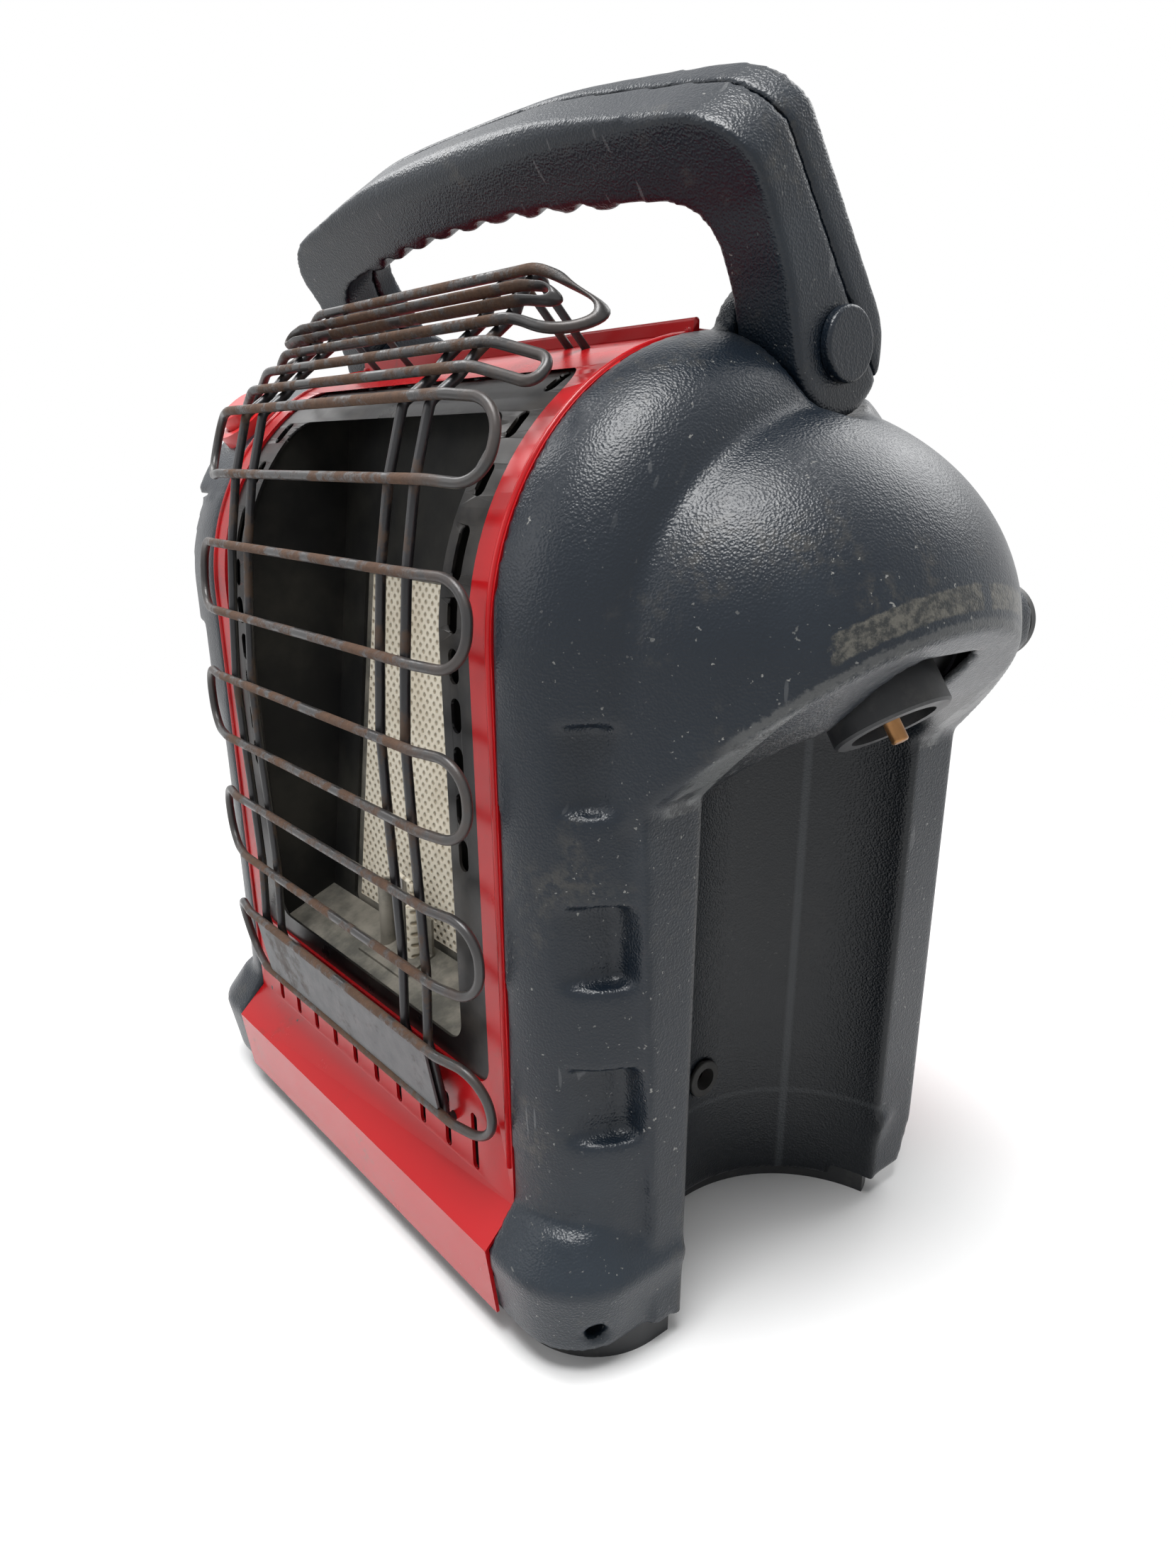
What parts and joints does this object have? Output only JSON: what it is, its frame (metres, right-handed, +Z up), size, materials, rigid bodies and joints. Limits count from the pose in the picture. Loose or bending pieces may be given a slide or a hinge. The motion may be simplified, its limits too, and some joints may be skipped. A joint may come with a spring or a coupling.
{
  "type": "portable propane heater",
  "caption": "Portable radiant gas heater with a red arched sheet-metal case, wire guard, ceramic tile burner, fold-back carrying handle and a side niche for a small gas cylinder.",
  "frame": {"origin": "on the floor under the middle of the red case, z = 0 at the base's underside", "axes": "+Z up, the front with the guard faces -Y, the cylinder niche is on +X"},
  "size_m": [0.3314, 0.1953, 0.3847],
  "materials": {
    "red_enamel": "glossy red stove enamel",
    "charcoal_plastic": "fine pebbled dark blue-grey plastic",
    "black_enamel": "satin black enamel",
    "guard_wire": "heat-browned steel wire",
    "guard_plate": "dull dark plate",
    "ceramic": "matte beige porous ceramic",
    "sheet_steel": "dull heat-stained steel",
    "brass": "dull brass",
    "zinc": "grey die-cast metal",
    "black_plastic": "black plastic",
    "black_rubber": "black rubber",
    "red_plastic": "glossy red plastic",
    "steel": "bright steel"
  },
  "bodies": {
    "heater": {"base_pan": "black_plastic", "front_panel": "red_enamel", "hood_cover": "red_enamel", "window_liner": "black_enamel", "heat_chamber": "black_enamel", "reflector_wall": "black_enamel", "chamber_floor": "sheet_steel", "burner_tile": "ceramic", "burner_plenum": "sheet_steel", "right_side_panel": "charcoal_plastic", "left_side_panel": "charcoal_plastic", "igniter_collar": "red_plastic", "igniter_body": "black_plastic", "control_valve": "zinc", "supply_pipe": "sheet_steel", "burner_pipe": "sheet_steel", "pilot_pipe": "sheet_steel", "venturi_tube": "sheet_steel", "gas_jet": "brass", "pilot_bracket": "sheet_steel", "pilot_burner": "sheet_steel", "thermocouple": "steel", "igniter_electrode": "ceramic", "tip_over_switch": "black_plastic", "niche_grommet": "black_rubber", "pivot_pins": "steel", "pivot_caps": "steel", "guard_loops": "guard_wire", "guard_uprights": "guard_wire", "guard_plate": "guard_plate", "side_screws": "steel", "base_screws": "steel"},
    "handle": {"handle_front_shell": "charcoal_plastic", "handle_rear_shell": "charcoal_plastic"},
    "regulator": {"regulator_body": "zinc", "regulator_cap": "black_plastic", "cylinder_socket": "black_plastic", "valve_pin": "brass"},
    "knob": {"control_knob": "black_plastic", "knob_stem": "steel"},
    "button": {"igniter_button": "red_plastic"}
  },
  "joints": [
    {"name": "handle_fold", "type": "hinge", "parent": "heater", "child": "handle", "pos_m": [0, 0.016, 0.311], "axis": [-1, 0, 0], "range_deg": [0, 98]},
    {"name": "regulator_swing", "type": "hinge", "parent": "heater", "child": "regulator", "pos_m": [0.143, 0.012, 0.228], "axis": [0, -1, 0], "range_deg": [-36, 9]},
    {"name": "knob_turn", "type": "hinge", "parent": "heater", "child": "knob", "pos_m": [-0.1315, -0.012, 0.238], "axis": [-1, 0, 0], "range_deg": [0, 180]},
    {"name": "button_press", "type": "slide", "parent": "heater", "child": "button", "axis": [0, 0.6756, -0.7373], "range_m": [0, 0.004], "stiffness_N_per_m": 400, "springref_m": -0.003}
  ]
}
